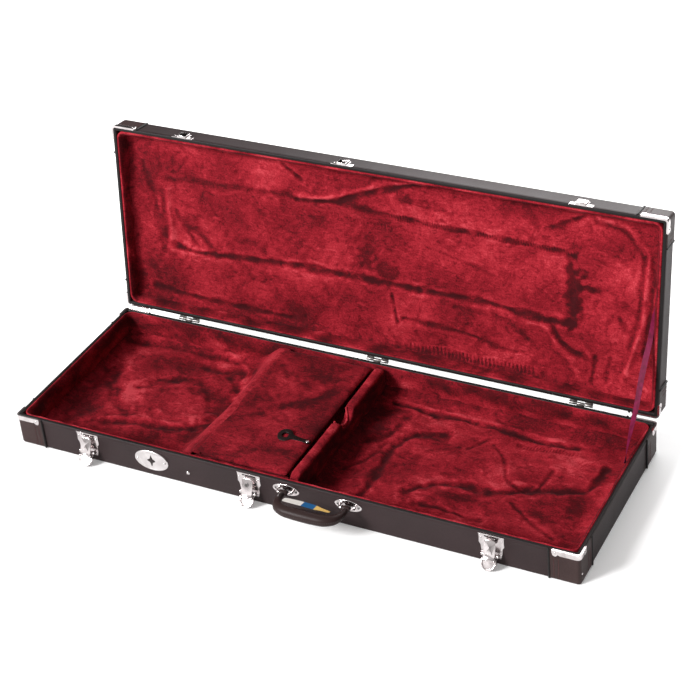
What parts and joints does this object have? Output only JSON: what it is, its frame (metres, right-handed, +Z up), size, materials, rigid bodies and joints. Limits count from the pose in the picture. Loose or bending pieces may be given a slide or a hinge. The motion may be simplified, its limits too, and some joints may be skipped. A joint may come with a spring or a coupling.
{
  "type": "guitar case",
  "caption": "Oblong hard case for an electric guitar, black outside and lined in red plush, with a hinged lid, draw latches, a leather handle and an accessory box.",
  "frame": {"origin": "centre of the base's underside, on the surface the case stands on", "axes": "+X along the case towards the guitar body end, +Y towards the hinges, +Z up; the lid is stored open"},
  "size_m": [1.0476, 0.5048, 0.4238],
  "materials": {
    "vinyl": "plywood covered in satin black grained vinyl",
    "corner_leatherette": "stitched brown-black leatherette",
    "plush": "crimson plush with a brushed nap over foam",
    "nickel": "bright nickel plate",
    "hinge_steel": "dulled steel",
    "badge_metal": "satin with a raised rim",
    "handle_leather": "padded and stitched, soft sheen",
    "satin_ribbon": "crimson satin"
  },
  "bodies": {
    "base": {"base_bottom_panel": "vinyl", "base_front_board": "vinyl", "base_back_board": "vinyl", "base_left_board": "vinyl", "base_right_board": "vinyl", "base_corner_caps": "corner_leatherette", "base_front_lining": "plush", "base_back_lining": "plush", "base_end_linings": "plush", "base_corner_clips": "nickel", "base_clip_rivets": "nickel", "base_screws": "hinge_steel", "body_floor_pad": "plush", "headstock_floor_pad": "plush", "accessory_floor_pad": "plush", "headstock_ramp": "plush", "divider": "plush", "accessory_ledges": "plush", "latch_plates": "nickel", "lock_plate": "nickel", "latch_pivot_pins": "nickel", "latch_rivets": "nickel", "hinge_base_leaves": "hinge_steel", "hinge_pins": "hinge_steel", "handle_bracket_left": "nickel", "handle_bracket_right": "nickel", "badge_plate": "badge_metal", "front_nails": "nickel", "stay_stud_base": "nickel", "stay_ribbon": "satin_ribbon"},
    "lid": {"lid_top_panel": "vinyl", "lid_front_board": "vinyl", "lid_back_board": "vinyl", "lid_left_board": "vinyl", "lid_right_board": "vinyl", "lid_corner_caps": "corner_leatherette", "lid_top_pad": "plush", "lid_front_lining": "plush", "lid_back_lining": "plush", "lid_end_linings": "plush", "lid_corner_clips": "nickel", "lid_clip_rivets": "nickel", "lid_screws": "hinge_steel", "latch_strikes": "nickel", "strike_rivets": "nickel", "hinge_lid_leaves": "hinge_steel", "stay_stud_lid": "nickel"},
    "handle": {"handle_grip": "handle_leather"},
    "box_lid": {"accessory_lid": "plush", "pull_tab": "handle_leather", "pull_tab_rivet": "nickel"},
    "lever_1": {"latch_lever_1": "nickel"},
    "hook_1": {"latch_hook_1": "nickel"},
    "lever_2": {"latch_lever_2": "nickel"},
    "hook_2": {"latch_hook_2": "nickel", "lock_cylinder": "nickel"},
    "lever_3": {"latch_lever_3": "nickel"},
    "hook_3": {"latch_hook_3": "nickel"}
  },
  "joints": [
    {"name": "lid_hinge", "type": "hinge", "parent": "base", "child": "lid", "pos_m": [0, 0.1837, 0.0594], "axis": [1, 0, 0], "range_deg": [0, 97], "deforming": ["stay_ribbon"]},
    {"name": "handle_swing", "type": "hinge", "parent": "base", "child": "handle", "pos_m": [0.069, -0.1875, 0.0425], "axis": [-1, 0, 0], "range_deg": [-82, 85]},
    {"name": "box_lid_hinge", "type": "hinge", "parent": "base", "child": "box_lid", "pos_m": [-0.1745, 0, 0.0583], "axis": [0, 1, 0], "range_deg": [-100, 0]},
    {"name": "lever_1_hinge", "type": "hinge", "parent": "base", "child": "lever_1", "pos_m": [-0.375, -0.1865, 0.022], "axis": [-1, 0, 0], "range_deg": [0, 142.5]},
    {"name": "hook_1_hinge", "type": "hinge", "parent": "lever_1", "child": "hook_1", "pos_m": [-0.375, -0.19469, 0.01827], "axis": [-1, 0, 0], "range_deg": [-166, 0]},
    {"name": "lever_2_hinge", "type": "hinge", "parent": "base", "child": "lever_2", "pos_m": [-0.057, -0.1865, 0.022], "axis": [-1, 0, 0], "range_deg": [0, 142.5]},
    {"name": "hook_2_hinge", "type": "hinge", "parent": "lever_2", "child": "hook_2", "pos_m": [-0.057, -0.19469, 0.01827], "axis": [-1, 0, 0], "range_deg": [-166, 0]},
    {"name": "lever_3_hinge", "type": "hinge", "parent": "base", "child": "lever_3", "pos_m": [0.375, -0.1865, 0.022], "axis": [-1, 0, 0], "range_deg": [0, 142.5]},
    {"name": "hook_3_hinge", "type": "hinge", "parent": "lever_3", "child": "hook_3", "pos_m": [0.375, -0.19469, 0.01827], "axis": [-1, 0, 0], "range_deg": [-166, 0]}
  ],
  "couplings": [
    {"joint": "hook_1_hinge", "follows": "lever_1_hinge", "ratio": -1.1635},
    {"joint": "hook_2_hinge", "follows": "lever_2_hinge", "ratio": -1.1635},
    {"joint": "hook_3_hinge", "follows": "lever_3_hinge", "ratio": -1.1635}
  ]
}
